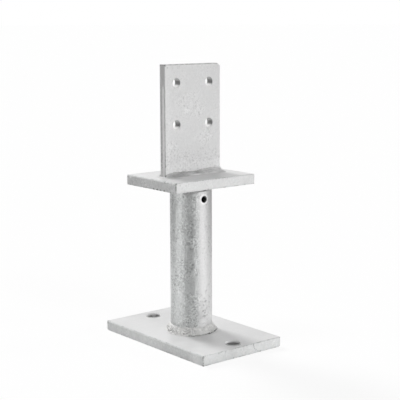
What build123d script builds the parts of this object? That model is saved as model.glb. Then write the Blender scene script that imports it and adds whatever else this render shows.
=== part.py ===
from build123d import *
from math import hypot, pi
import os

# A welded steel foot for a timber column, hot-dip galvanised after welding.
# A base plate is bolted to concrete, a tube stands on it and carries a bearing plate,
# and a flat blade with four bolt holes stands on that and goes into a slot in the column.
# Millimetres. +Z is up, and the origin is the centre of the base plate's underside.
# The blade's wide faces look along -Y and +Y, and the base plate is longest along Y.

# Base plate
base_width = 100.0
base_length = 160.0
base_thickness = 10.0
anchor_hole_diameter = 14.0
anchor_hole_from_end = 15.0
anchor_hole_rim = 0.8
sheared_round = 3.0

# Tube between the two plates
tube_diameter = 42.4
tube_wall = 3.2
tube_length = 150.0
vent_hole_diameter = 7.0
vent_hole_from_plate = 13.0

# Bearing plate under the column
bearing_width = 100.0
bearing_depth = 80.0
bearing_thickness = 10.0
rolled_round = 1.0

# Blade in the column's slot
blade_width = 70.0
blade_thickness = 8.0
blade_height = 110.0
blade_hole_diameter = 9.0
blade_hole_from_side = 14.5
blade_hole_from_top = 18.0
blade_hole_spacing_up = 41.0
blade_hole_rim = 0.4
clipped_corner_across = 4.0
clipped_corner_down = 2.8
clipped_corner_round = 2.0

# The blade's sheared end breaks away on both sides of a ridge, up to a height
sheared_ridge_offset = 0.8
sheared_break_rear = 0.1
sheared_break_front = 0.3
sheared_break_top_gap = 23.0

# All cut edges are softened by the zinc, the upright corners most
edge_round = 0.6
corner_round = 0.8

# Weld beads: how far each reaches along both of the faces that it joins
foot_weld_leg = 6.0
head_weld_leg = 5.0
blade_weld_leg = 5.0
# The round face of a bead is struck from a line this far behind the corner
weld_setback = 2.5
# Each ripple of a bead is a short cone, laid over the last one
ripple_pitch = 6.0
ripple_step = 0.35
ripple_overlap = 1.3
# The foot weld has a fine run and a lumpy one, each half a turn, from this angle
fine_ripple_pitch = 5.0
lumpy_ripple_step = 0.8
foot_weld_start = -135.0

# Heights and half sizes that follow from the sizes above
tube_radius = tube_diameter / 2
bore_radius = tube_radius - tube_wall
tube_foot = base_thickness
tube_head = tube_foot + tube_length
blade_foot = tube_head + bearing_thickness
blade_top = blade_foot + blade_height
blade_end = blade_width / 2
blade_side = blade_thickness / 2
vent_hole_height = tube_head - vent_hole_from_plate
drain_hole_height = tube_foot + vent_hole_from_plate


def weld_face_radius(leg):
    """Radius of a bead's round face, which meets both joined faces at the leg's length."""
    return hypot(leg + weld_setback, weld_setback)


def ripple_cone(leg, pitch, step, tilt):
    """One ripple, at each current location, with its axis along the line of the weld."""
    radius = weld_face_radius(leg)
    Cone(radius, radius - step, pitch * ripple_overlap, rotation=tilt)


def ring_run(height, leg, pitch, step, start, sweep):
    """A run of ripples round the tube, from the start angle through the sweep."""
    line_radius = tube_radius - weld_setback
    bead_length = (tube_radius + leg / 2) * 2 * pi * sweep / 360
    count = round(bead_length / pitch)
    with Locations((0, 0, height)):
        with PolarLocations(line_radius, count, start, sweep, endpoint=False):
            ripple_cone(leg, bead_length / count, step, (-90, 0, 0))


def keep_outside_tube(low, high):
    """Trims the beads to the room outside the tube between two heights."""
    room_radius = tube_radius + foot_weld_leg * 2
    with BuildSketch(Plane.XZ) as room:
        with BuildLine():
            Polyline(
                (tube_radius, low),
                (room_radius, low),
                (room_radius, high),
                (tube_radius, high),
                close=True,
            )
        make_face()
    revolve(room.sketch, axis=Axis.Z, mode=Mode.INTERSECT)


# Base plate, sheared from plate, which rounds the lower edge of two sides.
# The punch draws the rims of its holes down.
with BuildPart() as base_plate:
    with BuildSketch(Plane.XY):
        RectangleRounded(base_width, base_length, corner_round)
        with GridLocations(0, base_length - anchor_hole_from_end * 2, 1, 2):
            Circle(anchor_hole_diameter / 2, mode=Mode.SUBTRACT)
    extrude(amount=base_thickness)
    chamfer(base_plate.faces().sort_by(Axis.Z)[-1].outer_wire().edges(), length=edge_round)
    chamfer(base_plate.faces().sort_by(Axis.Z)[-1].inner_wires().edges(), length=anchor_hole_rim)
    with BuildSketch(Plane.XZ) as end_view:
        Rectangle(base_width, base_thickness, align=(Align.CENTER, Align.MIN))
        fillet(end_view.vertices().group_by(Axis.Y)[0].sort_by(Axis.X)[-1], radius=sheared_round)
    extrude(amount=base_length / 2, both=True, mode=Mode.INTERSECT)
    with BuildSketch(Plane.YZ) as side_view:
        Rectangle(base_length, base_thickness, align=(Align.CENTER, Align.MIN))
        fillet(side_view.vertices().group_by(Axis.Y)[0].sort_by(Axis.X)[-1], radius=sheared_round)
    extrude(amount=base_width / 2, both=True, mode=Mode.INTERSECT)

# Tube, with a vent hole under the bearing plate and a drain hole across from it at the foot,
# which let the zinc in and the air out
with BuildPart() as post_tube:
    with BuildSketch(Plane.XY.offset(tube_foot)):
        Circle(tube_radius)
        Circle(bore_radius, mode=Mode.SUBTRACT)
    extrude(amount=tube_length)
    with BuildSketch(Plane.XZ):
        with Locations((0, vent_hole_height)):
            Circle(vent_hole_diameter / 2)
    extrude(amount=tube_radius, mode=Mode.SUBTRACT)
    with BuildSketch(Plane.XZ):
        with Locations((0, drain_hole_height)):
            Circle(vent_hole_diameter / 2)
    extrude(amount=-tube_radius, mode=Mode.SUBTRACT)

# Bearing plate, cut from flat bar: its back edges keep the round that the bar was rolled with
with BuildPart() as bearing_plate:
    with BuildSketch(Plane.XY.offset(tube_head)):
        RectangleRounded(bearing_width, bearing_depth, corner_round)
    extrude(amount=bearing_thickness)
    chamfer(bearing_plate.faces().sort_by(Axis.Z)[-1].outer_wire().edges(), length=edge_round)
    with BuildSketch(Plane.YZ) as bar_section:
        with Locations((0, tube_head)):
            Rectangle(bearing_depth, bearing_thickness, align=(Align.CENTER, Align.MIN))
        fillet(bar_section.vertices().group_by(Axis.X)[-1], radius=rolled_round)
    extrude(amount=bearing_width / 2, both=True, mode=Mode.INTERSECT)

# Blade, drawn in plan and trimmed to its outline, with one upper corner clipped.
# Up to a height, its sheared end breaks away on both sides of a ridge.
with BuildPart() as blade:
    with BuildSketch(Plane.XY.offset(blade_foot)) as broken_plan:
        with BuildLine():
            Polyline(
                (blade_end, -blade_side),
                (blade_end, blade_side),
                (-blade_end + sheared_break_rear, blade_side),
                (-blade_end, sheared_ridge_offset),
                (-blade_end + sheared_break_front, -blade_side),
                close=True,
            )
        make_face()
        fillet(broken_plan.vertices(), radius=edge_round)
    extrude(amount=blade_height - sheared_break_top_gap)
    with BuildSketch(Plane.XY.offset(blade_top - sheared_break_top_gap)):
        RectangleRounded(blade_width, blade_thickness, edge_round)
    extrude(amount=sheared_break_top_gap)
    with BuildSketch(Plane.XZ) as outline:
        with BuildLine():
            Polyline(
                (-blade_end, blade_foot),
                (blade_end, blade_foot),
                (blade_end, blade_top - clipped_corner_down),
                (blade_end - clipped_corner_across, blade_top),
                (-blade_end, blade_top),
                close=True,
            )
        make_face()
        fillet(outline.vertices().group_by(Axis.X)[-1].sort_by(Axis.Y)[-1], radius=clipped_corner_round)
        with Locations((0, blade_top - blade_hole_from_top - blade_hole_spacing_up / 2)):
            with GridLocations(blade_width - blade_hole_from_side * 2, blade_hole_spacing_up, 2, 2):
                Circle(blade_hole_diameter / 2, mode=Mode.SUBTRACT)
    extrude(amount=blade_side, both=True, mode=Mode.INTERSECT)
    chamfer(blade.faces().sort_by(Axis.Y)[0].inner_wires().edges(), length=blade_hole_rim)

# Foot weld round the tube, made in two half-turn runs that overlap where they start and stop
with BuildPart() as foot_weld:
    foot_line = tube_foot - weld_setback
    ring_run(foot_line, foot_weld_leg, fine_ripple_pitch, ripple_step, foot_weld_start, 180)
    ring_run(foot_line, foot_weld_leg, ripple_pitch, lumpy_ripple_step, foot_weld_start + 180, 180)
    keep_outside_tube(tube_foot, tube_foot + foot_weld_leg * 2)

# Head weld round the tube, overhead against the bearing plate
with BuildPart() as head_weld:
    head_line = tube_head + weld_setback
    ring_run(head_line, head_weld_leg, ripple_pitch, ripple_step, foot_weld_start, 360)
    keep_outside_tube(tube_head - head_weld_leg * 2, tube_head)

# Blade weld: a run along each wide face, closed round both ends of the blade
with BuildPart() as blade_weld:
    run_end = blade_end - weld_setback
    run_side = blade_side - weld_setback
    run_line = blade_foot - weld_setback
    ripple_count = round(run_end * 2 / ripple_pitch)
    run_pitch = run_end * 2 / ripple_count
    with Locations((0, -run_side, run_line)):
        with GridLocations(run_pitch, 0, ripple_count, 1):
            ripple_cone(blade_weld_leg, run_pitch, ripple_step, (0, 90, 0))
    with Locations((0, run_side, run_line)):
        with GridLocations(run_pitch, 0, ripple_count, 1):
            ripple_cone(blade_weld_leg, run_pitch, ripple_step, (0, -90, 0))
    with Locations((0, 0, blade_foot)):
        with GridLocations((blade_end - blade_side) * 2, 0, 2, 1):
            Cone(
                blade_side + blade_weld_leg,
                blade_side,
                blade_weld_leg,
                align=(Align.CENTER, Align.CENTER, Align.MIN),
            )
    with Locations((0, 0, blade_foot)):
        Box(
            blade_width * 2,
            bearing_depth,
            blade_weld_leg * 2,
            align=(Align.CENTER, Align.CENTER, Align.MIN),
            mode=Mode.INTERSECT,
        )
    add(blade.part, mode=Mode.SUBTRACT)

os.makedirs("parts", exist_ok=True)
for label, piece in (
    ("base_plate", base_plate),
    ("post_tube", post_tube),
    ("bearing_plate", bearing_plate),
    ("blade", blade),
    ("foot_weld", foot_weld),
    ("head_weld", head_weld),
    ("blade_weld", blade_weld),
):
    piece.part.label = label
    export_step(piece.part, f"parts/{label}.step")
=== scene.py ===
from math import atan2, cos, degrees, exp, hypot, radians, sin

import bmesh
import bpy
from bpy.props import FloatProperty, FloatVectorProperty, PointerProperty
from bpy.types import Operator, Panel, PropertyGroup
from mathutils import Matrix, Vector, noise


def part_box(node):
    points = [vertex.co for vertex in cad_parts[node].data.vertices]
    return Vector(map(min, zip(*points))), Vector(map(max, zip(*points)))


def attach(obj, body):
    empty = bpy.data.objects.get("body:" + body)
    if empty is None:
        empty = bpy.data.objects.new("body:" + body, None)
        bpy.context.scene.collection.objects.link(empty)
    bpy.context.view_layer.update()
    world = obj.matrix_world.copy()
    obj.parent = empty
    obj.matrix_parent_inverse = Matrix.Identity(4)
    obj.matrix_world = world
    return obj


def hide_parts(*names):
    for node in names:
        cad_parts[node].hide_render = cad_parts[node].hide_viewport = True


# A welded, hot-dip galvanised steel foot for a timber column.
# Metres and radians. +Z is up, and the blade's wide faces look along -Y and +Y.

bl_info = {
    "name": "Column foot",
    "version": (1, 0, 0),
    "blender": (4, 5, 0),
    "location": "3D View > Sidebar > Column foot",
    "description": "Welds, zinc finish and studio for a galvanised column base plate",
    "category": "Object",
}

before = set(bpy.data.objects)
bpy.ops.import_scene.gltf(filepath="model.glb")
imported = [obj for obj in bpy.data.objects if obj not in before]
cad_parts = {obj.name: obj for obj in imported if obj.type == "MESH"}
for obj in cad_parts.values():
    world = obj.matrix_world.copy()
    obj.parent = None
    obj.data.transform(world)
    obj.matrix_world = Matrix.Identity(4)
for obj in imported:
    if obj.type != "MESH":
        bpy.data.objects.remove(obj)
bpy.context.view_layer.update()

MM = 0.001

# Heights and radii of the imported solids
PLATE_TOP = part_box("base_plate")[1].z
SEAT_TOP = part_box("bearing_plate")[1].z
TUBE_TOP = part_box("post_tube")[1].z
TUBE_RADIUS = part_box("post_tube")[1].x
HEAD_WELD_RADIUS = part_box("head_weld")[1].x
BLADE_LOW, BLADE_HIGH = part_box("blade")

# Their holes, which the frame doesn't list. Each place is a point on the hole's axis.
ANCHOR_HOLES = ((0, 65 * MM, 0), (0, -65 * MM, 0))
ANCHOR_HOLE_RADIUS = 7 * MM
ANCHOR_HOLE_RIM = 0.8 * MM
BOLT_HOLES = tuple((x * MM, 0, z * MM) for x in (-20.5, 20.5) for z in (221, 262))
BOLT_HOLE_RADIUS = 4.5 * MM
VENT_HOLE_DROP = 13 * MM

# How far a sculpted bead reaches into the tube's wall and into a plate
WALL_BITE = 0.1 * MM
PLATE_BITE = 0.05 * MM
# Steps of a bead round the tube
RING_STEPS = 360
# Points this close are merged, and an offset this short has no direction
DOUBLES = 0.002 * MM
SAME_PLACE = 0.01 * MM


class ZincSettings(PropertyGroup):
    """The look of the zinc coat."""

    colour: FloatVectorProperty(
        name="Zinc colour",
        description="Colour of the coat before its clouds and mottles",
        subtype="COLOR",
        size=3,
        min=0.0,
        max=1.0,
        default=(0.74, 0.74, 0.74),
    )
    tube_metallic: FloatProperty(
        name="Tube metallic",
        description="How much of the light the coat mirrors rather than scatters, on the tube",
        subtype="FACTOR",
        min=0.0,
        max=1.0,
        default=0.9,
    )
    tube_roughness: FloatProperty(
        name="Tube roughness",
        description="How matt the coat is on the tube",
        subtype="FACTOR",
        min=0.0,
        max=1.0,
        default=0.36,
    )
    plate_metallic: FloatProperty(
        name="Plate metallic",
        description="How much of the light the coat mirrors rather than scatters, on plates and welds",
        subtype="FACTOR",
        min=0.0,
        max=1.0,
        default=0.25,
    )
    plate_roughness: FloatProperty(
        name="Plate roughness",
        description="How matt the coat is on the plates and the welds",
        subtype="FACTOR",
        min=0.0,
        max=1.0,
        default=0.42,
    )


class WeldSettings(PropertyGroup):
    """Sizes of the weld beads."""

    ripple_pitch: FloatProperty(
        name="Ripple pitch",
        description="Distance from one ripple of a bead to the next",
        unit="LENGTH",
        min=0.5 * MM,
        max=10 * MM,
        default=2.4 * MM,
    )
    ripple_height: FloatProperty(
        name="Ripple height",
        description="How far a ripple stands out of the bead's face",
        unit="LENGTH",
        min=0.0,
        max=1 * MM,
        default=0.22 * MM,
    )
    lump_height: FloatProperty(
        name="Lump height",
        description="How far the lumps of the uneven run stand out",
        unit="LENGTH",
        min=0.0,
        max=3 * MM,
        default=1.1 * MM,
    )


class StageSettings(PropertyGroup):
    """The floor, the light and the camera."""

    floor_size: FloatProperty(
        name="Floor size",
        description="Half the width of the floor",
        unit="LENGTH",
        min=1.0,
        max=200.0,
        default=60.0,
    )
    light_level: FloatProperty(
        name="Light level",
        description="Scales all the lamps together",
        min=0.0,
        max=4.0,
        default=1.0,
    )
    camera_distance: FloatProperty(
        name="Camera distance",
        description="From the foot's axis to the camera",
        unit="LENGTH",
        min=0.3,
        max=10.0,
        default=1083.2 * MM,
    )
    camera_azimuth: FloatProperty(
        name="Camera azimuth",
        description="Turn of the camera round the foot, from in front of the blade's wide face",
        subtype="ANGLE",
        default=radians(-39.165),
    )
    camera_elevation: FloatProperty(
        name="Camera elevation",
        description="Height of the camera over the horizon",
        subtype="ANGLE",
        default=radians(9.553),
    )
    camera_roll: FloatProperty(
        name="Camera roll",
        description="Turn of the picture about its own centre",
        subtype="ANGLE",
        default=radians(-0.185),
    )
    camera_aim: FloatVectorProperty(
        name="Camera aim",
        description="How far to the right of the axis, and how high, the camera's line of sight passes",
        subtype="NONE",
        size=2,
        default=(9.194 * MM, 143.651 * MM),
    )
    focal_length: FloatProperty(
        name="Focal length",
        description="Of the lens, in millimetres on a 36 mm wide picture",
        min=20.0,
        max=300.0,
        default=96.84,
    )


class ColumnFootSettings(PropertyGroup):
    """All settings of the column foot."""

    zinc: PointerProperty(type=ZincSettings)
    weld: PointerProperty(type=WeldSettings)
    stage: PointerProperty(type=StageSettings)


# Shader nodes

def add_node(tree, kind, inputs=None, **settings):
    """A new shader node with its settings. Each input is a value, or a socket to link from."""
    node = tree.nodes.new("ShaderNode" + kind)
    for name, value in settings.items():
        setattr(node, name, value)
    for name, value in (inputs or {}).items():
        if isinstance(value, bpy.types.NodeSocket):
            tree.links.new(value, node.inputs[name])
        else:
            node.inputs[name].default_value = value
    return node


def calculate(tree, operation, first, second=0.0, third=0.0):
    """The result of one step of arithmetic on sockets or numbers."""
    return add_node(tree, "Math", {0: first, 1: second, 2: third}, operation=operation).outputs[0]


def multiply(tree, first, *others):
    """The product of sockets or numbers."""
    for other in others:
        first = calculate(tree, "MULTIPLY", first, other)
    return first


def add_mark(tree, marks, depth, *where):
    """The marks with one more added where all its masks are 1. A negative depth darkens the tone."""
    return calculate(tree, "MULTIPLY_ADD", multiply(tree, *where), depth, marks)


def distance(tree, place, centre):
    """How far each point lies from a centre."""
    return add_node(tree, "VectorMath", {0: place, 1: centre}, operation="DISTANCE").outputs["Value"]


def noise_layer(tree, place, feature, detail=3.0, rough=0.5, stretch=(1, 1, 1), distortion=0.0):
    """Noise about zero, from -1 to 1, with features of the given size in metres."""
    mapping = add_node(tree, "Mapping", {"Vector": place, "Scale": stretch})
    texture = add_node(tree, "TexNoise", {
        "Vector": mapping.outputs[0],
        "Scale": 1 / feature,
        "Detail": detail,
        "Roughness": rough,
        "Distortion": distortion,
    })
    return calculate(tree, "MULTIPLY_ADD", texture.outputs[0], 2.0, -1.0)


def threshold(tree, value, low, high):
    """A smooth step from 0 at the low value to 1 at the high one."""
    step = add_node(tree, "MapRange", {"Value": value, "From Min": low, "From Max": high})
    step.interpolation_type = "SMOOTHSTEP"
    return step.outputs[0]


def zinc_material(
    name, zinc, metallic, roughness, detail, tint=(1, 1, 1), cloud=0.05, mottle=0.07, fleck=0.0,
    grain=0.04, speck=0.1, relief=0.12 * MM, runs=(1, 1, 1), seed=0.0,
):
    """The zinc coat: soft clouds, a finer mottle, specks, darker flecks where it is thin, and grain.

    The detail adds the piece's own marks to the tone, and says how strong the mottle is and how
    full the tint is from place to place.
    """
    material = bpy.data.materials.new(name)
    material.use_nodes = True
    tree = material.node_tree
    shader = tree.nodes["Principled BSDF"]
    shader.inputs["Metallic"].default_value = metallic
    object_place = add_node(tree, "TexCoord").outputs["Object"]
    moved = add_node(tree, "Mapping", {"Vector": object_place, "Location": (seed, seed, seed)})
    place = moved.outputs[0]
    marks, strength, tinge = detail(tree, object_place)

    clouds = noise_layer(tree, place, 22 * MM, 2.0, 0.5, runs)
    mottles = multiply(tree, noise_layer(tree, place, 4.5 * MM, 4.0, 0.6, runs, 0.4), strength)
    grains = multiply(tree, noise_layer(tree, place, 0.9 * MM, 2.0, 0.6), strength)
    thin = calculate(tree, "MULTIPLY_ADD", clouds, 0.5, noise_layer(tree, place, 2.6 * MM, 3.0, 0.62))
    flecks = threshold(tree, thin, 0.22, 0.5)
    patches = threshold(tree, noise_layer(tree, place, 13 * MM, 2.0, 0.5), -0.25, 0.2)
    patches = calculate(tree, "MULTIPLY_ADD", patches, 0.7, 0.3)
    specks = multiply(tree, noise_layer(tree, place, 1.9 * MM, 2.0, 0.75), patches, strength)

    tone = calculate(tree, "MULTIPLY_ADD", clouds, cloud, 1.0)
    tone = calculate(tree, "MULTIPLY_ADD", mottles, mottle, tone)
    tone = calculate(tree, "MULTIPLY_ADD", grains, grain, tone)
    tone = calculate(tree, "MULTIPLY_ADD", specks, speck, tone)
    tone = calculate(tree, "MULTIPLY_ADD", flecks, -fleck, tone)
    brightest = 1 / max(zinc.colour)
    tone = calculate(tree, "MINIMUM", calculate(tree, "ADD", tone, marks), brightest)
    plain = list(zinc.colour)
    tinted = [channel * share for channel, share in zip(plain, tint)]
    coat = add_node(tree, "Mix", {0: tinge, 4: plain, 5: tinted}, data_type="VECTOR").outputs[1]
    colour = add_node(tree, "VectorMath", {0: coat, "Scale": tone}, operation="SCALE")
    tree.links.new(colour.outputs[0], shader.inputs["Base Color"])

    rough = calculate(tree, "MULTIPLY_ADD", mottles, 0.06, roughness)
    rough = calculate(tree, "MULTIPLY_ADD", flecks, 0.08, rough)
    tree.links.new(rough, shader.inputs["Roughness"])

    height = calculate(tree, "MULTIPLY_ADD", mottles, 0.8, multiply(tree, grains, 0.12))
    height = calculate(tree, "MULTIPLY_ADD", flecks, -0.5, height)
    height = calculate(tree, "MULTIPLY_ADD", specks, 0.5, height)
    bump = add_node(tree, "Bump", {"Height": height, "Strength": 1.0, "Distance": relief})
    tree.links.new(bump.outputs[0], shader.inputs["Normal"])
    return material


def forward_way(tree, x, y, azimuth):
    """How far each point lies from the tube's axis, towards one direction in degrees."""
    turn = radians(azimuth)
    return calculate(tree, "ADD", multiply(tree, x, cos(turn)), multiply(tree, y, sin(turn)))


def way_inside(tree, value, low, high):
    """How far a value lies inside a range, from its nearer end."""
    from_middle = calculate(tree, "ABSOLUTE", calculate(tree, "SUBTRACT", value, (low + high) / 2))
    return calculate(tree, "SUBTRACT", (high - low) / 2, from_middle)


def edge_way(tree, way_x, way_y, down, up):
    """Distance from the nearest edge of a box, for points on its faces."""
    level = calculate(tree, "MINIMUM", down, up)
    lesser = calculate(tree, "MINIMUM", way_x, way_y)
    greater = calculate(tree, "MAXIMUM", way_x, way_y)
    return calculate(tree, "MAXIMUM", lesser, calculate(tree, "MINIMUM", greater, level))


def within(tree, place, centre, keep, radius, soft=0.2 * MM):
    """1 inside a round hole's wall, fading to 0 outside it, seen along the axis that is not kept."""
    flat = add_node(tree, "VectorMath", {0: place, 1: keep}, operation="MULTIPLY").outputs[0]
    wall = radius + 0.1 * MM
    return threshold(tree, distance(tree, flat, centre), wall + soft, wall)


def nick_and_shading_marks(tree, place, marks, nicks):
    """Darkens nicks and stains, and paints shade, shadows and highlights, each given by its place in
    millimetres, its radius and its depth.
    """
    for point, radius, depth in nicks:
        away = distance(tree, place, [value * MM for value in point])
        marks = add_mark(tree, marks, -depth, threshold(tree, away, radius * MM, radius * 0.4 * MM))
    return marks


# Nicks and stains, as nick_and_shading_marks takes them, and spots of painted shade and painted light.
# One with a negative depth is a lighter patch.

BASE_PLATE_NICKS_AND_SHADING = (
    # Down the corner towards -X and -Y, and on the two beside it
    ((-50, -80, 10), 1.3, 0.5),
    ((-50, -80, 8.5), 2.2, 0.3),
    ((-50, -80, 6), 1.2, 0.25),
    ((-50, -80, 3), 1.2, 0.25),
    ((-50, -80, 0), 1.6, 0.55),
    ((50, -80, 9.5), 1.2, 0.4),
    ((-50, 80, 9), 3.2, 0.4),
    # The curved mark on the face towards -Y
    ((13.8, -80, 8.5), 1.2, 0.4),
    ((14.3, -80, 6.6), 1.1, 0.32),
    ((15.2, -80, 4.7), 1.1, 0.3),
    ((17, -80, 2.9), 1.1, 0.3),
    ((19.5, -80, 1.5), 1.1, 0.3),
    ((22.5, -80, 0.5), 1.3, 0.4),
    # Along that face's edges
    ((-22, -80, 8.8), 1.2, 0.25),
    ((-30.7, -80, 9), 1, 0.25),
    ((-12.4, -80, 0.7), 1.2, 0.3),
    # Lighter zinc near the first corner; a painted pool of light on the top in front of the tube; and a
    # painted highlight on the wall of the far hole
    ((-42, -80, 6), 34, -0.13),
    ((-50, -68, 3.5), 11, -0.1),
    ((-38, -44, 10), 24, -0.1),
    ((4.4, 70.4, 8), 2.8, -0.8),
)
BEARING_PLATE_NICKS_AND_SHADING = (
    # Down the corner towards -X and -Y
    ((-50, -40, 169.5), 1.9, 0.7),
    ((-50, -40, 166.4), 1.5, 0.3),
    ((-50, -40, 164.8), 1.6, 0.35),
    ((-50, -40, 163.2), 1.6, 0.35),
    ((-50, -40, 161), 1.5, 0.12),
    # Along the lower and the upper edge of the face towards -X, with a painted highlight on the rounded
    # corner at the upper edge's rear end
    ((-50, -4.5, 160.3), 1.6, 0.5),
    ((-50, -10.5, 160.3), 1.8, 0.55),
    ((-50, -15.5, 160.3), 1.5, 0.5),
    ((-50, -21.5, 160.3), 1.8, 0.55),
    ((-50, -22.5, 169.2), 1.4, 0.3),
    ((-50, -27.5, 169.2), 1.4, 0.3),
    ((-50, 34, 169.6), 3.5, -0.3),
    # On the face towards -Y, and painted shadow on the top, carrying the blade's shadow further to the
    # left
    ((-44.9, -40, 167.6), 1.4, 0.15),
    ((-42.6, -40, 164.5), 1.6, 0.12),
    ((-38, -40, 166.5), 1.2, 0.15),
    ((-34.4, -40, 167.5), 1.2, 0.12),
    ((-27, -13, 170), 8, 0.1),
    ((-31, -15, 170), 9, 0.1),
)
BLADE_NICKS = (
    ((-35, 2, 279.5), 1.6, 0.1),
    ((-34, -4, 279), 1.6, 0.3),
    ((-31.5, -4, 277), 1.3, 0.2),
)
TUBE_NICKS_AND_SHADING = (
    ((-18.1, -11, 150), 1.2, 0.35),
    ((-18.7, -10.1, 145), 1, 0.3),
    ((-13.5, -16.3, 125.6), 1.7, 0.25),
    ((-12.1, -17.4, 122.6), 1.7, 0.3),
    ((-12.8, -16.9, 119.1), 1.5, 0.25),
    ((3.8, -20.9, 113.5), 0.9, 0.3),
    ((-14.4, -15.6, 103.4), 2, 0.3),
    ((-10, -18.7, 102.8), 1, 0.3),
    ((11.3, -17.9, 87.4), 0.9, 0.4),
    ((-18.8, -9.7, 85.7), 1, 0.5),
    ((-11.8, -17.6, 81.5), 1.4, 0.3),
    ((-12.7, -17, 77.9), 1.6, 0.3),
    ((-14.1, -15.8, 74.4), 1.7, 0.3),
    ((-21.1, -1.6, 72.8), 1.2, 0.35),
    ((-21.1, -2, 69), 1.3, 0.35),
    ((-21.2, -0.3, 59.7), 1, 0.5),
    # Painted light on the front of the tube, just above the foot weld
    ((4, -20.8, 20), 16, -0.12),
    ((-3.3, -20.9, 18), 9, -0.2),
)
FOOT_WELD_NICKS_AND_SHADING = (
    # A painted shadow along the toe of the fine run, and a darker stretch of its face
    ((11.8, -24.2, 10.5), 1.8, 0.6),
    ((5.1, -26.4, 10.5), 1.4, 0.4),
    ((1.6, -26.8, 10.5), 1.6, 0.4),
    ((7.4, -23.3, 13), 7, 0.14),
    ((16, -18, 13), 9, 0.14),
    # Pits of the lumpy run, and painted shade in the crease where it stops
    ((-21.6, -11, 13.2), 1, 0.4),
    ((-19.8, -11, 15.2), 1.3, 0.5),
    ((-18.6, -14.6, 14), 1.5, 0.5),
    ((-17.4, -15, 15.2), 2.4, 0.45),
    ((-18.3, -16.4, 13.2), 2.2, 0.4),
    ((-19.3, -16.8, 11.6), 1.6, 0.4),
)
# A spot of painted shade on the front of the head weld, under the bearing plate
HEAD_WELD_SHADE = (((-1.4, -23.5, 157.5), 3.2, 0.45),)
BLADE_WELD_NICKS = (((-34.8, -4.6, 171.2), 1.7, 0.4),)

# Bands of painted light and shade down the blade's end, for the ridge that the shear left: middle in Y
# and half width in millimetres, and depth
SHEAR_SHADING_BANDS = (
    (-3.7, 0.7, -0.14),
    (-1.35, 1.9, 0.46),
    (1.9, 0.8, -0.14),
)
# Where the zinc on the blade is rough: centre and radius in millimetres
ROUGH_PATCHES = (
    ((-1, 0, 240), 13),
    ((-13, 0, 245), 8),
    ((8, 0, 230), 8),
    ((15, 0, 207), 11),
    ((-27, 0, 196), 8),
)


# Marks of each piece: what they add to the tone, the strength of the mottle, and the share of the tint

def anchor_hole_marks(tree, place, marks, down):
    """Paints a highlight on the rims of the anchor holes and shade down their walls, and a painted
    shadow on a strip of the top before each.
    """
    rim = ANCHOR_HOLE_RADIUS + ANCHOR_HOLE_RIM
    # The rim and the upper wall get a painted highlight, the wall deeper down painted shade
    wall_highlight_and_shade = calculate(tree, "MULTIPLY_ADD", threshold(tree, down, 1.5 * MM, 2.3 * MM), -0.8, 0.3)
    flush = threshold(tree, down, 0.5 * MM, 0.2 * MM)
    for centre in ANCHOR_HOLES:
        marks = add_mark(tree, marks, wall_highlight_and_shade, within(tree, place, centre, (1, 1, 0), rim))
        # A painted shadow on the top, on each hole's near side
        before = (centre[0] - 2.5 * MM, centre[1] - 3.1 * MM, 0)
        near_side_shadow = within(tree, place, before, (1, 1, 0), ANCHOR_HOLE_RADIUS + 0.3 * MM, 0.5 * MM)
        marks = add_mark(tree, marks, -0.4, near_side_shadow, flush)
    return marks


def plate_detail(name, nicks, top_mottle, side_mottle, end_mottle, dark_edge, edge_highlight, drilled=False):
    """Marks for a plate: smooth top, rougher sides, broken dark edge lines, nicks and holes.

    The end mottle and the edge highlight, a painted highlight along the top edge, are for the two faces
    that look along X.
    """
    low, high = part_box(name)

    def detail(tree, place):
        x, y, z = add_node(tree, "SeparateXYZ", {0: place}).outputs
        way_x = way_inside(tree, x, low.x, high.x)
        way_y = way_inside(tree, y, low.y, high.y)
        down = calculate(tree, "SUBTRACT", high.z, z)
        up = calculate(tree, "SUBTRACT", z, low.z)
        sides = threshold(tree, calculate(tree, "MINIMUM", way_x, way_y), 0.9 * MM, 0.3 * MM)
        ends = threshold(tree, way_x, 0.9 * MM, 0.3 * MM)
        strength = calculate(tree, "MULTIPLY_ADD", sides, side_mottle - top_mottle, top_mottle)
        strength = calculate(tree, "MULTIPLY_ADD", ends, end_mottle - side_mottle, strength)
        edge = threshold(tree, edge_way(tree, way_x, way_y, down, up), 0.9 * MM, 0.45 * MM)
        broken = threshold(tree, noise_layer(tree, place, 7 * MM, 3.0, 0.7), -0.02, 0.25)
        marks = multiply(tree, edge, broken, -dark_edge)
        foot = threshold(tree, up, 2.2 * MM, 0.4 * MM)
        marks = add_mark(tree, marks, -0.07, foot, sides)
        # A painted highlight along the top edge of the faces that look along X, where the edge is
        # rounded
        shoulder = threshold(tree, down, 1.5 * MM, 1.1 * MM)
        marks = add_mark(tree, marks, edge_highlight, shoulder, ends)
        if drilled:
            marks = anchor_hole_marks(tree, place, marks, down)
        return nick_and_shading_marks(tree, place, marks, nicks), strength, sides

    return detail


def bolt_hole_marks(tree, place, z, marks):
    """Paints shade on the walls of the bolt holes, deepest round their middles, and painted light on the
    lowest part of their walls.
    """
    for centre in BOLT_HOLES:
        middle = centre[2]
        inside = within(tree, place, centre, (1, 0, 1), BOLT_HOLE_RADIUS)
        # Painted shade on the wall above its lowest part, deepest round the middle
        above = threshold(tree, z, middle - 2.6 * MM, middle - 1.2 * MM)
        below = threshold(tree, z, middle + 2.8 * MM, middle + 1.2 * MM)
        dark = multiply(tree, above, calculate(tree, "MULTIPLY_ADD", below, -0.24, -0.3))
        marks = add_mark(tree, marks, dark, inside)
        # Painted light on the lowest part of the wall, which faces up
        lit_ledge = threshold(tree, z, middle - 2.2 * MM, middle - 3.4 * MM)
        marks = add_mark(tree, marks, 0.5, inside, lit_ledge)
    return marks


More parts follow.
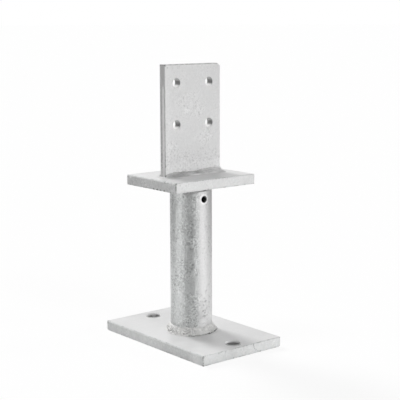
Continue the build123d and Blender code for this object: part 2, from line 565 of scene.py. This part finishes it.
def shear_marks(tree, place, y, z, end, marks):
    """Painted light and shade in bands down the blade's end, for the ridge that the shear left, which
    stop below its top.
    """
    wander = noise_layer(tree, place, 9 * MM, 3.0, 0.6, (0.1, 0.1, 1))
    below = threshold(tree, calculate(tree, "MULTIPLY_ADD", wander, 8 * MM, z), 262 * MM, 252 * MM)
    swayed = calculate(tree, "MULTIPLY_ADD", wander, 0.25 * MM, y)
    for middle, width, depth in SHEAR_SHADING_BANDS:
        way = calculate(tree, "ABSOLUTE", calculate(tree, "SUBTRACT", swayed, middle * MM))
        band = threshold(tree, way, width * MM, width * 0.5 * MM)
        marks = add_mark(tree, marks, depth, band, end, below)
    return marks


def rough_share(tree, place, z):
    """1 where the blade's zinc is rough: along its foot, and in a few patches with ragged edges."""
    rough = threshold(tree, z, 200 * MM, 185 * MM)
    stray = noise_layer(tree, place, 12 * MM, 3.0, 0.6)
    for centre, radius in ROUGH_PATCHES:
        away = distance(tree, place, [value * MM for value in centre])
        away = calculate(tree, "MULTIPLY_ADD", stray, 9 * MM, away)
        patch = threshold(tree, away, (radius + 3) * MM, (radius - 3) * MM)
        rough = calculate(tree, "MAXIMUM", rough, patch)
    return rough


def blade_detail(tree, place):
    """Marks for the blade: a dark broken top edge, painted shade and light in its holes, painted light
    and shade in bands down its end, and rough patches.
    """
    x, y, z = add_node(tree, "SeparateXYZ", {0: place}).outputs
    edge = threshold(tree, z, BLADE_HIGH.z - 1.3 * MM, BLADE_HIGH.z - 0.4 * MM)
    broken = threshold(tree, noise_layer(tree, place, 5 * MM, 3.0, 0.7), -0.6, 0.2)
    marks = multiply(tree, edge, broken, -0.42)
    marks = bolt_hole_marks(tree, place, z, marks)
    end = threshold(tree, x, BLADE_LOW.x + 1.0 * MM, BLADE_LOW.x + 0.5 * MM)
    marks = add_mark(tree, marks, -0.15, end)
    marks = shear_marks(tree, place, y, z, end, marks)
    bright_foot = threshold(tree, z, 189 * MM, 176 * MM)
    marks = add_mark(tree, marks, 0.2, bright_foot)
    bright_left = threshold(tree, x, -24 * MM, -32 * MM)
    marks = add_mark(tree, marks, 0.05, bright_left)
    rough = rough_share(tree, place, z)
    dots = threshold(tree, noise_layer(tree, place, 2.2 * MM, 2.0, 0.7), 0.0, 0.35)
    dots = calculate(tree, "MULTIPLY_ADD", dots, -0.22, 0.05)
    marks = add_mark(tree, marks, dots, rough)
    strength = calculate(tree, "MULTIPLY_ADD", rough, 0.5, 0.4)
    return nick_and_shading_marks(tree, place, marks, BLADE_NICKS), strength, 1.0


def foot_weld_detail(tree, place):
    """Marks for the foot weld: a pitted lumpy half painted brighter, as painted light, and a painted
    shadow line under the fine run's toe.
    """
    x, y, z = add_node(tree, "SeparateXYZ", {0: place}).outputs
    lumpy = threshold(tree, calculate(tree, "SUBTRACT", y, x), -1.5 * MM, 1.5 * MM)
    fine = calculate(tree, "SUBTRACT", 1.0, lumpy)
    pits = threshold(tree, noise_layer(tree, place, 2.4 * MM, 2.0, 0.6), 0.22, 0.45)
    # Painted light on the lumpy half, with darker pits in it
    pitted = calculate(tree, "MULTIPLY_ADD", pits, -0.44, 0.3)
    marks = calculate(tree, "MULTIPLY_ADD", lumpy, pitted, 0.13)
    wander = noise_layer(tree, place, 2.6 * MM, 3.0, 0.65)
    height = calculate(tree, "MULTIPLY_ADD", wander, 0.9 * MM, z)
    # A painted shadow line along the toe of the fine run
    toe = threshold(tree, height, PLATE_TOP + 1.2 * MM, PLATE_TOP + 0.3 * MM)
    marks = add_mark(tree, marks, -0.62, toe, fine)
    spots = threshold(tree, noise_layer(tree, place, 2.8 * MM, 3.0, 0.7), 0.1, 0.45)
    right = threshold(tree, x, -10 * MM, -4 * MM)
    marks = add_mark(tree, marks, -0.45, spots, right)
    return nick_and_shading_marks(tree, place, marks, FOOT_WELD_NICKS_AND_SHADING), 1.0, 1.0


def blade_weld_detail(tree, place):
    """Marks for the blade weld: grey streaks along its front run with painted shade where the blade's
    shadow falls, a painted highlight along its toe, and a left end painted lighter as painted light.
    """
    x, y, z = add_node(tree, "SeparateXYZ", {0: place}).outputs
    front = threshold(tree, y, -3.9 * MM, -4.4 * MM)
    run = threshold(tree, x, -37 * MM, -34 * MM)
    streaks = noise_layer(tree, place, 3.2 * MM, 3.0, 0.6, (0.22, 1, 1))
    # Painted shade on the front run, in the blade's shadow, fading out towards +X
    front_shade = calculate(tree, "MULTIPLY_ADD", threshold(tree, x, 8 * MM, 30 * MM), 0.24, -0.24)
    marks = multiply(tree, front, run, calculate(tree, "MULTIPLY_ADD", streaks, 0.75, front_shade))
    # A painted highlight along the toe, in the middle of the front run
    toe = threshold(tree, z, SEAT_TOP + 1.6 * MM, SEAT_TOP + 0.9 * MM)
    aside = calculate(tree, "ABSOLUTE", calculate(tree, "SUBTRACT", x, -1 * MM))
    marks = add_mark(tree, marks, 0.2, toe, threshold(tree, aside, 9 * MM, 4 * MM))
    left_end = threshold(tree, x, -35 * MM, -36.5 * MM)
    lines = threshold(tree, noise_layer(tree, place, 2.2 * MM, 2.0, 0.6, (1, 0.5, 1)), 0.0, 0.3)
    marks = add_mark(tree, marks, -0.16, left_end, lines)
    # The left end is painted lighter, as painted light
    marks = add_mark(tree, marks, 0.24, left_end)
    return nick_and_shading_marks(tree, place, marks, BLADE_WELD_NICKS), 1.0, 1.0


def head_weld_detail(tree, place):
    """Marks for the head weld: broken painted shade against the plate, along its front and right."""
    x, y, z = add_node(tree, "SeparateXYZ", {0: place}).outputs
    front = threshold(tree, forward_way(tree, x, y, 263), 0.56 * TUBE_RADIUS, 0.70 * TUBE_RADIUS)
    depth = calculate(tree, "MULTIPLY_ADD", threshold(tree, x, -6 * MM, 3 * MM), -5.5 * MM, 12 * MM)
    wander = noise_layer(tree, place, 2.4 * MM, 3.0, 0.6)
    down = calculate(tree, "SUBTRACT", TUBE_TOP, calculate(tree, "MULTIPLY_ADD", wander, 1.4 * MM, z))
    # Painted shade under the bearing plate, reaching further down on the left of the front
    shade_under_plate = threshold(tree, calculate(tree, "SUBTRACT", down, depth), 0.5 * MM, -0.5 * MM)
    marks = multiply(tree, shade_under_plate, front, -0.5)
    marks = nick_and_shading_marks(tree, place, marks, HEAD_WELD_SHADE)
    return marks, 1.0, calculate(tree, "SUBTRACT", 1.0, front)


def tube_detail(tree, place):
    """Marks for the tube: a painted highlight on the rim round the vent hole, painted shade just above
    the foot weld on the left, and a rougher, greener left side.
    """
    x, y, z = add_node(tree, "SeparateXYZ", {0: place}).outputs
    flat = add_node(tree, "CombineXYZ", {0: x, 2: z}).outputs[0]
    # A painted highlight on the rim round the vent hole, on its front
    rim = threshold(tree, distance(tree, flat, (0, 0, TUBE_TOP - VENT_HOLE_DROP)), 6.0 * MM, 4.2 * MM)
    front = threshold(tree, y, -5 * MM, -8 * MM)
    marks = multiply(tree, rim, front, 0.25)
    patches = threshold(tree, noise_layer(tree, place, 7 * MM, 3.0, 0.65, (1, 1, 0.6)), 0.12, 0.42)
    middle = threshold(tree, forward_way(tree, x, y, 225), 0.955 * TUBE_RADIUS, 0.99 * TUBE_RADIUS)
    marks = add_mark(tree, marks, -0.2, patches, middle)
    left = threshold(tree, forward_way(tree, x, y, 190), 7 * MM, 13 * MM)
    marks = calculate(tree, "ADD", marks, calculate(tree, "MULTIPLY_ADD", left, 0.12, -0.12))
    # Painted shade on the left, just above the foot weld
    shade_above_weld = threshold(tree, z, PLATE_TOP + 10.5 * MM, PLATE_TOP + 7.5 * MM)
    marks = add_mark(tree, marks, -0.12, shade_above_weld, left)
    strength = calculate(tree, "MULTIPLY_ADD", left, 0.85, 0.22)
    return nick_and_shading_marks(tree, place, marks, TUBE_NICKS_AND_SHADING), strength, left


def finish_node(name, material):
    """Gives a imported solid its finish."""
    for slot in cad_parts[name].material_slots:
        slot.material = material


# Weld beads

def bead_section(bm, corner, leg, up, steps):
    """A closed quarter round in the XZ plane, from the wall over the bead's face to its toe."""
    corner = Vector(corner)
    top = bm.verts.new(corner + Vector((0, 0, leg * up)))
    arc = bmesh.ops.spin(
        bm, geom=[top], cent=corner, axis=(0, 1, 0), angle=radians(90) * up, steps=steps,
        use_duplicate=False,
    )
    toe = next(item for item in arc["geom_last"] if isinstance(item, bmesh.types.BMVert))
    inner = bm.verts.new(corner)
    bm.edges.new((toe, inner))
    bm.edges.new((inner, top))


def sculpt_bead(bm, corner_of, reach):
    """Moves each point of a bead along its line from the inner corner, out to the reach there."""
    for vert in bm.verts:
        corner, along = corner_of(vert.co)
        offset = vert.co - corner
        if offset.length > SAME_PLACE:
            slope = degrees(atan2(abs(offset.z), hypot(offset.x, offset.y)))
            vert.co = corner + offset.normalized() * reach(slope, along, vert.co)


def ring_bead(height, leg, up, section_steps, reach):
    """A bead all round the tube: its section turned once round the axis, and sculpted."""
    radius = TUBE_RADIUS - WALL_BITE
    bm = bmesh.new()
    bead_section(bm, (radius, 0, height), leg, up, section_steps)
    bmesh.ops.spin(
        bm, geom=bm.verts[:] + bm.edges[:], cent=(0, 0, 0), axis=(0, 0, 1), angle=radians(360),
        steps=RING_STEPS, use_merge=True, use_duplicate=False,
    )

    def corner_of(place):
        angle = atan2(place.y, place.x)
        return Vector((radius * cos(angle), radius * sin(angle), height)), degrees(angle)

    sculpt_bead(bm, corner_of, reach)
    return bm


def finish_bead(bm, name, material):
    """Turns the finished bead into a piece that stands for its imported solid."""
    bmesh.ops.remove_doubles(bm, verts=bm.verts, dist=DOUBLES)
    bmesh.ops.recalc_face_normals(bm, faces=bm.faces)
    for face in bm.faces:
        face.smooth = True
    mesh = bpy.data.meshes.new(name)
    bm.to_mesh(mesh)
    bm.free()
    mesh.materials.append(material)
    piece = bpy.data.objects.new(name, mesh)
    bpy.context.scene.collection.objects.link(piece)
    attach(piece, "root")
    return piece


def smooth_step(value, low, high):
    """0 below the low value, 1 above the high one, with a smooth change between."""
    share = min(1.0, max(0.0, (value - low) / (high - low)))
    return share * share * (3 - 2 * share)


def hump(value, middle, width):
    """1 at the middle, falling off smoothly to 0 on both sides."""
    return exp(-(((value - middle) / width) ** 2))


def flat_face(slope, toe, rise):
    """Reach, at a slope in degrees, of a flat face from the toe's end to the rise's."""
    return 1 / (cos(radians(slope)) / toe + sin(radians(slope)) / rise)


def ripples(slope, along, settings, wander):
    """Height of the ripples left by the weld pool, curved like the pool's tail."""
    tail = ((slope - 35) / 45) ** 2 * 0.5
    phase = (along / settings.ripple_pitch + tail + wander) % 1.0
    return settings.ripple_height * (phase ** 0.7 * 2 - 1) * smooth_step(slope, 2, 12)


def lumps(place, size, seed):
    """Rounded lumps with creases between them, from about -1 to 1."""
    point = place / size + Vector((seed, seed, seed))
    return 1 - 2 * abs(noise.noise(point)) * 1.6 + 0.5 * noise.noise(point * 2.3)


class MESH_OT_column_foot_foot_weld(Operator):
    """Makes the bead round the tube's foot, in its fine run and its lumpy run"""

    bl_idname = "mesh.column_foot_foot_weld"
    bl_label = "Foot weld"

    section_steps = 26
    run_start = -135.0
    toe = 5.4 * MM
    rise = 7.0 * MM
    # Where the toe swells and narrows: middle and width in degrees, and by how much
    toe_changes = (
        (222, 42, 2.4 * MM),
        (150, 30, -0.6 * MM),
    )

    def fine_face(self, flat, slope, turn, place, wander):
        """The fine run: a slightly hollow face with even ripples, and a small lump at its start."""
        settings = bpy.context.scene.column_foot.weld
        along = radians(turn) * (TUBE_RADIUS + 4 * MM)
        face = flat - 0.35 * MM * sin(radians(slope * 2))
        face += 0.5 * MM * hump(turn, 5, 6) * hump(slope, 30, 25)
        face += ripples(slope, along, settings, wander * 0.6) * (1 - smooth_step(slope, 50, 68)) * 1.6
        face += 0.9 * MM * noise.noise(place / (3.1 * MM))
        return face + 0.6 * MM * noise.noise(place / (1.3 * MM)) * smooth_step(slope, 2, 10)

    def lumpy_face(self, flat, slope, place):
        """The lumpy run: a full face with lumps, flatter at its toe and where it meets the tube."""
        settings = bpy.context.scene.column_foot.weld
        window = smooth_step(slope, 2, 16) * (1 - smooth_step(slope, 74, 88))
        lump = settings.lump_height * (lumps(place, 2.9 * MM, 7.3) - 0.5) * window
        return flat + 0.7 * MM * hump(slope, 45, 30) + lump

    def reach(self, slope, angle, place):
        """Distance of the bead's face from the inner corner, by slope and angle in degrees."""
        turn = (angle - self.run_start) % 360
        wander = noise.noise(place / (9 * MM))
        toe = self.toe + 0.35 * MM * wander
        for middle, width, change in self.toe_changes:
            toe += change * hump(angle % 360, middle, width)
        flat = flat_face(slope, toe, self.rise + 0.4 * MM * wander)
        fine = self.fine_face(flat, slope, turn, place, wander)
        lumpy = self.lumpy_face(flat, slope, place)
        share = smooth_step(turn, 178, 184) * (1 - smooth_step(turn, 357, 360))
        crease = 1.1 * MM * hump((turn + 180) % 360 - 180, -0.8, 1.6)
        crease *= smooth_step(slope, 8, 24) * (1 - smooth_step(slope, 66, 80))
        return fine + (lumpy - fine) * share - crease

    def execute(self, context):
        zinc = context.scene.column_foot.zinc
        bm = ring_bead(PLATE_TOP - PLATE_BITE, self.rise, 1, self.section_steps, self.reach)
        material = zinc_material(
            "foot_weld_zinc", zinc, zinc.plate_metallic, zinc.plate_roughness, foot_weld_detail,
            tint=(1.0, 0.998, 0.985), cloud=0.04, mottle=0.12, speck=0.25, fleck=0.12, relief=0.25 * MM,
        )
        piece = finish_bead(bm, "foot_weld_bead", material)
        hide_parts("foot_weld")
        return {"FINISHED"}


class MESH_OT_column_foot_head_weld(Operator):
    """Makes the bead round the tube's head, under the bearing plate"""

    bl_idname = "mesh.column_foot_head_weld"
    bl_label = "Head weld"

    section_steps = 22
    leg = 5 * MM
    # How far the bead sags down the tube, where, and how wide that is, in degrees
    sag = 3.2 * MM
    sag_angle = -136
    sag_width = 20

    def reach(self, slope, angle, place):
        """Distance of the bead's face from the inner corner, by slope and angle in degrees."""
        settings = bpy.context.scene.column_foot.weld
        along = radians(angle) * (TUBE_RADIUS + 3 * MM)
        wander = noise.noise(place / (8 * MM))
        leg = (HEAD_WELD_RADIUS - TUBE_RADIUS) * (1.0 + 0.06 * wander)
        face = flat_face(slope, leg, leg) + 0.6 * MM * hump(slope, 45, 25)
        face += self.sag * hump(angle, self.sag_angle, self.sag_width) * smooth_step(slope, 20, 90)
        return face + ripples(slope, along, settings, wander * 0.5) * (1 - smooth_step(slope, 75, 88))

    def execute(self, context):
        zinc = context.scene.column_foot.zinc
        bm = ring_bead(TUBE_TOP + PLATE_BITE, self.leg, -1, self.section_steps, self.reach)
        material = zinc_material(
            "head_weld_zinc", zinc, zinc.plate_metallic, zinc.plate_roughness, head_weld_detail,
            tint=(0.976, 1.0, 0.994), cloud=0.04, mottle=0.12, speck=0.5, fleck=0.2, relief=0.25 * MM,
        )
        piece = finish_bead(bm, "head_weld_bead", material)
        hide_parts("head_weld")
        return {"FINISHED"}


class MESH_OT_column_foot_blade_weld(Operator):
    """Makes the bead all round the blade's foot"""

    bl_idname = "mesh.column_foot_blade_weld"
    bl_label = "Blade weld"

    section_steps = 20
    turn_steps = 22
    run_step = 0.6 * MM
    leg = 5 * MM
    # How far inside the blade the bead's inner corner runs, and more so at its rounded left end
    side_bite = 0.3 * MM
    left_bite = 0.9 * MM
    # The bead's rise at its left end, and its changes along X: from, to, by how much
    left_rise = 1.0 * MM
    rise_changes = (
        (-37.5 * MM, -35 * MM, 2.0 * MM),
        (-36 * MM, -26 * MM, 1.7 * MM),
        (-14 * MM, -6 * MM, -0.5 * MM),
        (1 * MM, 20 * MM, 1.8 * MM),
        (25 * MM, 35 * MM, -0.5 * MM),
    )

    def reach(self, slope, along, place):
        """Distance of the bead's face from the inner corner."""
        settings = bpy.context.scene.column_foot.weld
        wander = noise.noise(place / (10 * MM))
        toe = 5.3 * MM + 0.35 * MM * wander + 1.6 * MM * smooth_step(place.x, 30 * MM, 38 * MM)
        rise = self.left_rise + 0.6 * MM * noise.noise(place / (2.4 * MM))
        for start, stop, change in self.rise_changes:
            rise += change * smooth_step(place.x, start, stop)
        hollow = 0.3 * MM + 0.7 * MM * smooth_step(place.x, 28 * MM, 37 * MM)
        face = flat_face(slope, toe, rise) - hollow * sin(radians(slope * 2))
        face += ripples(slope, along, settings, wander) * 0.5 * (1 - smooth_step(slope, 70, 88))
        return face + 0.12 * MM * noise.noise(place / (2.2 * MM))

    def execute(self, context):
        zinc = context.scene.column_foot.zinc
        low = Vector((BLADE_LOW.x + self.left_bite, BLADE_LOW.y + self.side_bite))
        high = Vector((BLADE_HIGH.x - self.side_bite, BLADE_HIGH.y - self.side_bite))
        base = SEAT_TOP - PLATE_BITE
        bm = bmesh.new()
        bead_section(bm, (high.x, low.y, base), self.leg, 1, self.section_steps)
        section = bm.verts[:] + bm.edges[:]
        # Each run ends at a corner of the blade, where the section turns
        runs = (
            (Vector((high.x, high.y, base)), Vector((0, high.y - low.y, 0))),
            (Vector((low.x, high.y, base)), Vector((low.x - high.x, 0, 0))),
            (Vector((low.x, low.y, base)), Vector((0, low.y - high.y, 0))),
            (Vector((high.x, low.y, base)), Vector((high.x - low.x, 0, 0))),
        )
        for corner, run in runs:
            steps = round(run.length / self.run_step)
            section = bmesh.ops.spin(
                bm, geom=section, dvec=run / steps, steps=steps, use_duplicate=False
            )["geom_last"]
            section = bmesh.ops.spin(
                bm, geom=section, cent=corner, axis=(0, 0, 1), angle=radians(90), steps=self.turn_steps,
                use_duplicate=False,
            )["geom_last"]
        bmesh.ops.remove_doubles(bm, verts=bm.verts, dist=DOUBLES)

        def corner_of(place):
            inner = Vector((min(high.x, max(low.x, place.x)), min(high.y, max(low.y, place.y)), base))
            out = place - inner
            turn = atan2(out.y, out.x) * 4 * MM if hypot(out.x, out.y) > SAME_PLACE else 0.0
            return inner, inner.x - inner.y + turn

        sculpt_bead(bm, corner_of, self.reach)
        material = zinc_material(
            "blade_weld_zinc", zinc, zinc.plate_metallic, zinc.plate_roughness, blade_weld_detail,
            cloud=0.04, mottle=0.08, fleck=0.12, relief=0.15 * MM,
        )
        piece = finish_bead(bm, "blade_weld_bead", material)
        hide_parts("blade_weld")
        return {"FINISHED"}


class OBJECT_OT_column_foot_plates(Operator):
    """Finishes the base plate, the bearing plate and the blade with zinc"""

    bl_idname = "object.column_foot_plates"
    bl_label = "Plates"

    def execute(self, context):
        zinc = context.scene.column_foot.zinc
        coat = zinc, zinc.plate_metallic, zinc.plate_roughness
        base_detail = plate_detail(
            "base_plate", BASE_PLATE_NICKS_AND_SHADING, top_mottle=0.25, side_mottle=1.2, end_mottle=1.3,
            dark_edge=0.32, edge_highlight=0.2, drilled=True,
        )
        finish_node("base_plate", zinc_material(
            "base_plate_zinc", *coat, base_detail, tint=(0.988, 1.0, 0.996), mottle=0.11,
            speck=0.2, grain=0.06, fleck=0.03, seed=0.11,
        ))
        bearing_detail = plate_detail(
            "bearing_plate", BEARING_PLATE_NICKS_AND_SHADING, top_mottle=0.5, side_mottle=0.8, end_mottle=1.8,
            dark_edge=0.34, edge_highlight=0.36,
        )
        finish_node("bearing_plate", zinc_material(
            "bearing_plate_zinc", *coat, bearing_detail, tint=(0.994, 1.0, 0.998), mottle=0.11,
            speck=0.25, grain=0.06, fleck=0.05, seed=0.23,
        ))
        finish_node("blade", zinc_material(
            "blade_zinc", *coat, blade_detail, mottle=0.10, speck=0.4, grain=0.08, fleck=0.1, seed=0.37,
        ))
        return {"FINISHED"}


class OBJECT_OT_column_foot_tube(Operator):
    """Finishes the tube with zinc that ran down it and left darker flecks"""

    bl_idname = "object.column_foot_tube"
    bl_label = "Tube"

    def execute(self, context):
        zinc = context.scene.column_foot.zinc
        finish_node("post_tube", zinc_material(
            "tube_zinc", zinc, zinc.tube_metallic, zinc.tube_roughness, tube_detail,
            tint=(0.98, 1.0, 0.994), cloud=0.08, mottle=0.2, speck=0.9, fleck=0.2, relief=0.5 * MM,
            runs=(1, 1, 0.45), seed=0.53,
        ))
        return {"FINISHED"}


class SCENE_OT_column_foot_stage(Operator):
    """Sets up the floor, the soft lamps, the world and the camera"""

    bl_idname = "scene.column_foot_stage"
    bl_label = "Studio"

    # Name, direction to the lamp and its height over the horizon in degrees, and strength
    lamps = (
        ("behind", 88, 38, 2.76),
        ("behind_low", 90, 12, 0.30),
        ("left_high", 150, 62, 0.54),
        ("front_high", 240, 62, 0.24),
        ("front_right_high", 270, 38, 0.60),
        ("front_right_low", 300, 12, 0.60),
        ("right_low", 330, 12, 0.88),
    )
    lamp_width = 16

    # The floor lies a hair under the foot, so that the two share no plane
    floor_drop = 0.1 * MM
    floor_colour = (0.93, 0.93, 0.93, 1)
    # How much of the floor's white is its own, as the camera sees it and as metal mirrors it
    floor_white = 0.9
    floor_white_mirrored = 0.6

    # The tent's cloth hangs from posts: direction of each in degrees, and the cloth's brightness
    # there on the floor, low, halfway up and high. It fades evenly from post to post.
    posts = (
        (0, 0.90, 0.35, 0.35, 0.40),
        (40, 0.85, 0.65, 1.15, 0.85),
        (65, 0.85, 0.70, 1.25, 0.95),
        (100, 0.85, 0.40, 0.50, 0.55),
        (125, 0.80, 0.20, 0.20, 0.50),
        (145, 0.85, 0.45, 0.15, 0.35),
        (160, 1.00, 1.25, 0.70, 0.33),
        (180, 0.95, 1.35, 0.70, 0.25),
        (200, 0.45, 0.32, 0.20, 0.20),
        (240, 0.35, 0.30, 0.22, 0.20),
        (265, 0.85, 0.85, 0.45, 0.25),
        (285, 1.30, 1.65, 1.05, 0.50),
        (305, 1.35, 1.42, 0.76, 0.52),
        (330, 1.10, 0.85, 0.42, 0.40),
    )
    # Rings of the tent: radius, height, and the share of each of the four brightnesses there
    rings = (
        (0.03, 0.0002, 1, 0, 0, 0),
        (0.35, 0.0002, 1, 0, 0, 0),
        (0.45, 0.0002, 0.5, 0.5, 0, 0),
        (0.45, 0.05, 0, 1, 0, 0),
        (0.45, 0.175, 0, 0, 1, 0),
        (0.45, 0.425, 0, 0, 0, 1),
        (0.45, 0.6, 0, 0, 0, 1),
    )

    def make_floor(self, size):
        """A pale matt floor that takes the part's shadow."""
        bm = bmesh.new()
        place = Matrix.Translation((0, 0, -self.floor_drop))
        bmesh.ops.create_circle(bm, cap_ends=True, segments=96, radius=size, matrix=place)
        mesh = bpy.data.meshes.new("floor")
        bm.to_mesh(mesh)
        bm.free()
        floor = bpy.data.objects.new("floor", mesh)
        bpy.context.scene.collection.objects.link(floor)
        material = bpy.data.materials.new("studio_floor")
        material.use_nodes = True
        tree = material.node_tree
        matt = tree.nodes["Principled BSDF"]
        matt.inputs["Base Color"].default_value = self.floor_colour
        matt.inputs["Roughness"].default_value = 0.95
        matt.inputs["Specular IOR Level"].default_value = 0.0
        white = add_node(tree, "Emission")
        share = self.seen_directly(tree, self.floor_white, self.floor_white_mirrored)
        mix = add_node(tree, "MixShader", {0: share, 1: matt.outputs[0], 2: white.outputs[0]})
        tree.links.new(mix.outputs[0], tree.nodes["Material Output"].inputs["Surface"])
        mesh.materials.append(material)

    def seen_directly(self, tree, straight=1.0, mirrored=1.0):
        """How white the background is to camera rays, and to glossy and transmission rays."""
        rays = add_node(tree, "LightPath").outputs
        bounced = calculate(tree, "MAXIMUM", rays["Is Glossy Ray"], rays["Is Transmission Ray"])
        seen = calculate(tree, "MULTIPLY", rays["Is Camera Ray"], straight)
        return calculate(tree, "MAXIMUM", seen, calculate(tree, "MULTIPLY", bounced, mirrored))

    def make_world(self):
        """A world that is white as a background and lights nothing."""
        world = bpy.data.worlds.new("studio_world")
        world.use_nodes = True
        bpy.context.scene.world = world
        tree = world.node_tree
        sky = tree.nodes["Background"]
        sky.inputs["Color"].default_value = (1, 1, 1, 1)
        tree.links.new(self.seen_directly(tree), sky.inputs["Strength"])

    def brightness(self, azimuth, shares):
        """Brightness of the cloth in one direction, between two of its posts."""
        before = max(post for post in self.posts if post[0] <= azimuth)
        full_turn = (360, *self.posts[0][1:])
        after = min((post for post in self.posts if post[0] > azimuth), default=full_turn)
        way = (azimuth - before[0]) / (after[0] - before[0])
        return sum(
            share * (here + (there - here) * way)
            for share, here, there in zip(shares, before[1:], after[1:])
        )

    def make_tent(self):
        """A tent round the part, which only the metal's reflections show."""
        bm = bmesh.new()
        bmesh.ops.create_circle(bm, segments=180, radius=1)
        shine = bm.verts.layers.float.new("shine")
        verts, edges = bm.verts[:], bm.edges[:]
        for number, (radius, height, *shares) in enumerate(self.rings):
            if number:
                made = bmesh.ops.extrude_edge_only(bm, edges=edges)["geom"]
                verts = [item for item in made if isinstance(item, bmesh.types.BMVert)]
                edges = [item for item in made if isinstance(item, bmesh.types.BMEdge)]
                edges = [edge for edge in edges if edge.is_boundary]
            for vert in verts:
                azimuth = atan2(vert.co.y, vert.co.x)
                vert.co = Vector((radius * cos(azimuth), radius * sin(azimuth), height))
                vert[shine] = self.brightness(degrees(azimuth) % 360, shares)
        bmesh.ops.edgeloop_fill(bm, edges=edges)
        mesh = bpy.data.meshes.new("tent")
        bm.to_mesh(mesh)
        bm.free()
        tent = bpy.data.objects.new("tent", mesh)
        bpy.context.scene.collection.objects.link(tent)
        tent.visible_camera = False
        tent.visible_diffuse = False
        tent.visible_transmission = False
        tent.visible_shadow = False
        material = bpy.data.materials.new("tent_cloth")
        material.use_nodes = True
        tree = material.node_tree
        shine = add_node(tree, "Attribute", attribute_name="shine").outputs["Fac"]
        cloth = add_node(tree, "Emission", {"Strength": shine})
        tree.links.new(cloth.outputs[0], tree.nodes["Material Output"].inputs["Surface"])
        mesh.materials.append(material)

    def make_lamps(self, level):
        """Soft lamps, which scatter on the part and don't show in its reflections."""
        for name, azimuth, elevation, strength in self.lamps:
            data = bpy.data.lights.new(name, "SUN")
            data.energy = strength * level
            data.angle = radians(self.lamp_width)
            data.cycles.use_multiple_importance_sampling = False
            lamp = bpy.data.objects.new(name, data)
            lamp.visible_glossy = False
            bpy.context.scene.collection.objects.link(lamp)
            turn, lift = radians(azimuth), radians(elevation)
            direction = Vector((cos(lift) * cos(turn), cos(lift) * sin(turn), sin(lift)))
            lamp.rotation_euler = direction.to_track_quat("Z", "Y").to_euler()

    def make_camera(self, stage):
        """The camera, aimed past the foot's axis and turned about its own line of sight."""
        data = bpy.data.cameras.new("camera")
        data.sensor_width = 36
        data.lens = stage.focal_length
        turn, lift = stage.camera_azimuth, stage.camera_elevation
        back = Vector((sin(turn) * cos(lift), -cos(turn) * cos(lift), sin(lift)))
        level_right = (-back).cross(Vector((0, 0, 1))).normalized()
        level_up = level_right.cross(-back)
        roll = stage.camera_roll
        right = level_right * cos(roll) + level_up * sin(roll)
        up = level_up * cos(roll) - level_right * sin(roll)
        aside, height = stage.camera_aim
        camera = bpy.data.objects.new("camera", data)
        bpy.context.scene.collection.objects.link(camera)
        place = Matrix((right, up, back)).transposed().to_4x4()
        place.translation = right * aside + Vector((0, 0, height)) + back * stage.camera_distance
        camera.matrix_world = place
        bpy.context.scene.camera = camera

    def execute(self, context):
        stage = context.scene.column_foot.stage
        context.scene.view_settings.view_transform = "Standard"
        self.make_floor(stage.floor_size)
        self.make_world()
        self.make_tent()
        self.make_lamps(stage.light_level)
        self.make_camera(stage)
        return {"FINISHED"}


class VIEW3D_PT_column_foot(Panel):
    """The column foot's settings and steps, in the order in which they are made"""

    bl_idname = "VIEW3D_PT_column_foot"
    bl_label = "Column foot"
    bl_space_type = "VIEW_3D"
    bl_region_type = "UI"
    bl_category = "Column foot"

    def draw(self, context):
        layout = self.layout
        for settings in (context.scene.column_foot.zinc, context.scene.column_foot.weld,
                         context.scene.column_foot.stage):
            box = layout.box()
            for name in settings.__annotations__:
                box.prop(settings, name)
        for operator in OPERATORS:
            layout.operator(operator.bl_idname)


OPERATORS = (
    OBJECT_OT_column_foot_plates,
    OBJECT_OT_column_foot_tube,
    MESH_OT_column_foot_foot_weld,
    MESH_OT_column_foot_head_weld,
    MESH_OT_column_foot_blade_weld,
    SCENE_OT_column_foot_stage,
)
SETTINGS = (ZincSettings, WeldSettings, StageSettings, ColumnFootSettings)
CLASSES = (*SETTINGS, *OPERATORS, VIEW3D_PT_column_foot)


def register():
    for made in CLASSES:
        bpy.utils.register_class(made)
    bpy.types.Scene.column_foot = PointerProperty(type=ColumnFootSettings)


def unregister():
    del bpy.types.Scene.column_foot
    for made in reversed(CLASSES):
        bpy.utils.unregister_class(made)


def main():
    register()
    bpy.ops.object.column_foot_plates()
    bpy.ops.object.column_foot_tube()
    bpy.ops.mesh.column_foot_foot_weld()
    bpy.ops.mesh.column_foot_head_weld()
    bpy.ops.mesh.column_foot_blade_weld()
    bpy.ops.scene.column_foot_stage()


if __name__ == "__main__":
    main()
